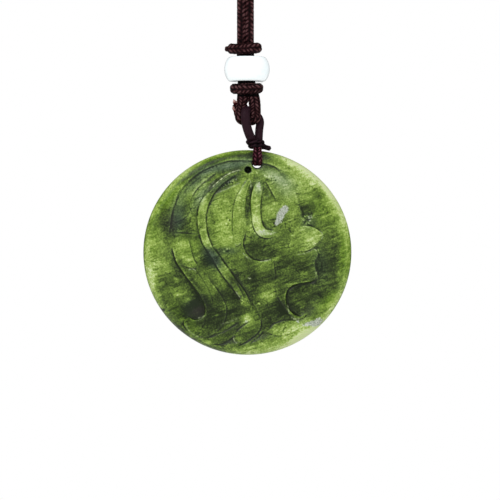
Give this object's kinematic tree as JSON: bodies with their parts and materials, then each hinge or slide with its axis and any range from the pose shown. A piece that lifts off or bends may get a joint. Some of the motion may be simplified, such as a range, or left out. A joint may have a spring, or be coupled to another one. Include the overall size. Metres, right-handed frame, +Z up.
{
  "type": "jade zodiac pendant on a cord necklace",
  "caption": "Carved green stone disc with a horse's head in low relief, hung by a cord loop from a knotted braided necklace with a white bead.",
  "frame": {"origin": "inner side of the neck loop's cord at the top of the loop, where the necklace hangs", "axes": "+Z up, -Y towards the viewer and the carved face, +X to the viewer's right"},
  "size_m": [0.1118, 0.011, 0.3384],
  "materials": {
    "jade": "polished",
    "white_stone": "polished",
    "braided_cord": "braided",
    "loop_cord": "smooth",
    "strand_cord": "braided",
    "frayed_cord": "frayed"
  },
  "bodies": {
    "necklace": {"neck_loop": "braided_cord", "doubled_cord": "braided_cord", "upper_knot": "braided_cord", "lower_knot": "braided_cord", "white_bead": "white_stone", "cut_end": "frayed_cord"},
    "pendant": {"pendant_loop": "loop_cord", "loop_wrap": "loop_cord", "disc_strand": "strand_cord", "jade_disc": "jade"}
  },
  "joints": [
    {"name": "pendant_swing", "type": "hinge", "parent": "necklace", "child": "pendant", "pos_m": [0.00058, 0, -0.2769], "axis": [0, 1, 0], "range_deg": [-45, 45]}
  ]
}
